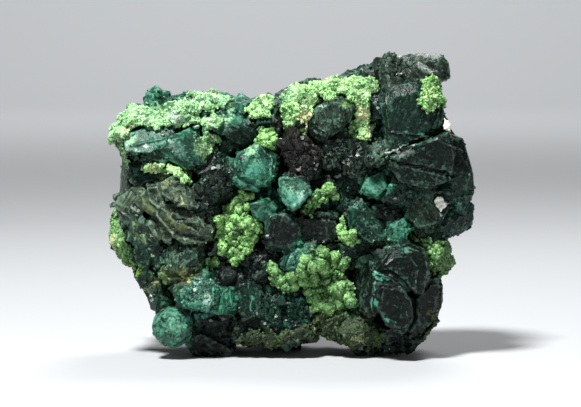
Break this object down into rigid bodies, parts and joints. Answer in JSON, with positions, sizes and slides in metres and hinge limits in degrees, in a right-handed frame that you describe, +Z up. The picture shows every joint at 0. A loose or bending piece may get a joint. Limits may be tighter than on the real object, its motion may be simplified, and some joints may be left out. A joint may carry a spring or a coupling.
{
  "type": "mineral specimen",
  "caption": "Mineral specimen that stands on its broken edge: dark green blocky crystals grown together, with apple green crusts and clusters of small balls, and pale grains.",
  "frame": {"origin": "on the surface the specimen stands on, under the middle of its box", "axes": "+X to the viewer's right along the longest side, +Y away from the viewer through the thickness, +Z up"},
  "size_m": [0.0736, 0.0372, 0.0613],
  "materials": {
    "green_crystal": "mineral: satin dark green crystal faces, teal and brown in places, with rough sparkling patches",
    "bayldonite": "mineral: matt, finely knobbly, apple green to pale green",
    "pale_mineral": "mineral: matt, pinkish white"
  },
  "bodies": {
    "root": {"crystal_mass": "green_crystal", "bayldonite_crust_upper_left": "bayldonite", "bayldonite_cluster_top": "bayldonite", "bayldonite_nodules_upper": "bayldonite", "bayldonite_crust_top": "bayldonite", "bayldonite_nodule_upper_right": "bayldonite", "bayldonite_crust_left_upper": "bayldonite", "bayldonite_band_left": "bayldonite", "bayldonite_crust_left_edge": "bayldonite", "bayldonite_cluster_left": "bayldonite", "bayldonite_nodule_left": "bayldonite", "bayldonite_nodules_centre": "bayldonite", "bayldonite_cluster_centre": "bayldonite", "bayldonite_cluster_lower": "bayldonite", "bayldonite_crust_lower_right": "bayldonite", "bayldonite_crust_bottom": "bayldonite", "bayldonite_crust_right_edge": "bayldonite", "bayldonite_rim_lower_right": "bayldonite", "pale_grain_right": "pale_mineral", "pale_grain_upper": "pale_mineral"}
  },
  "joints": []
}
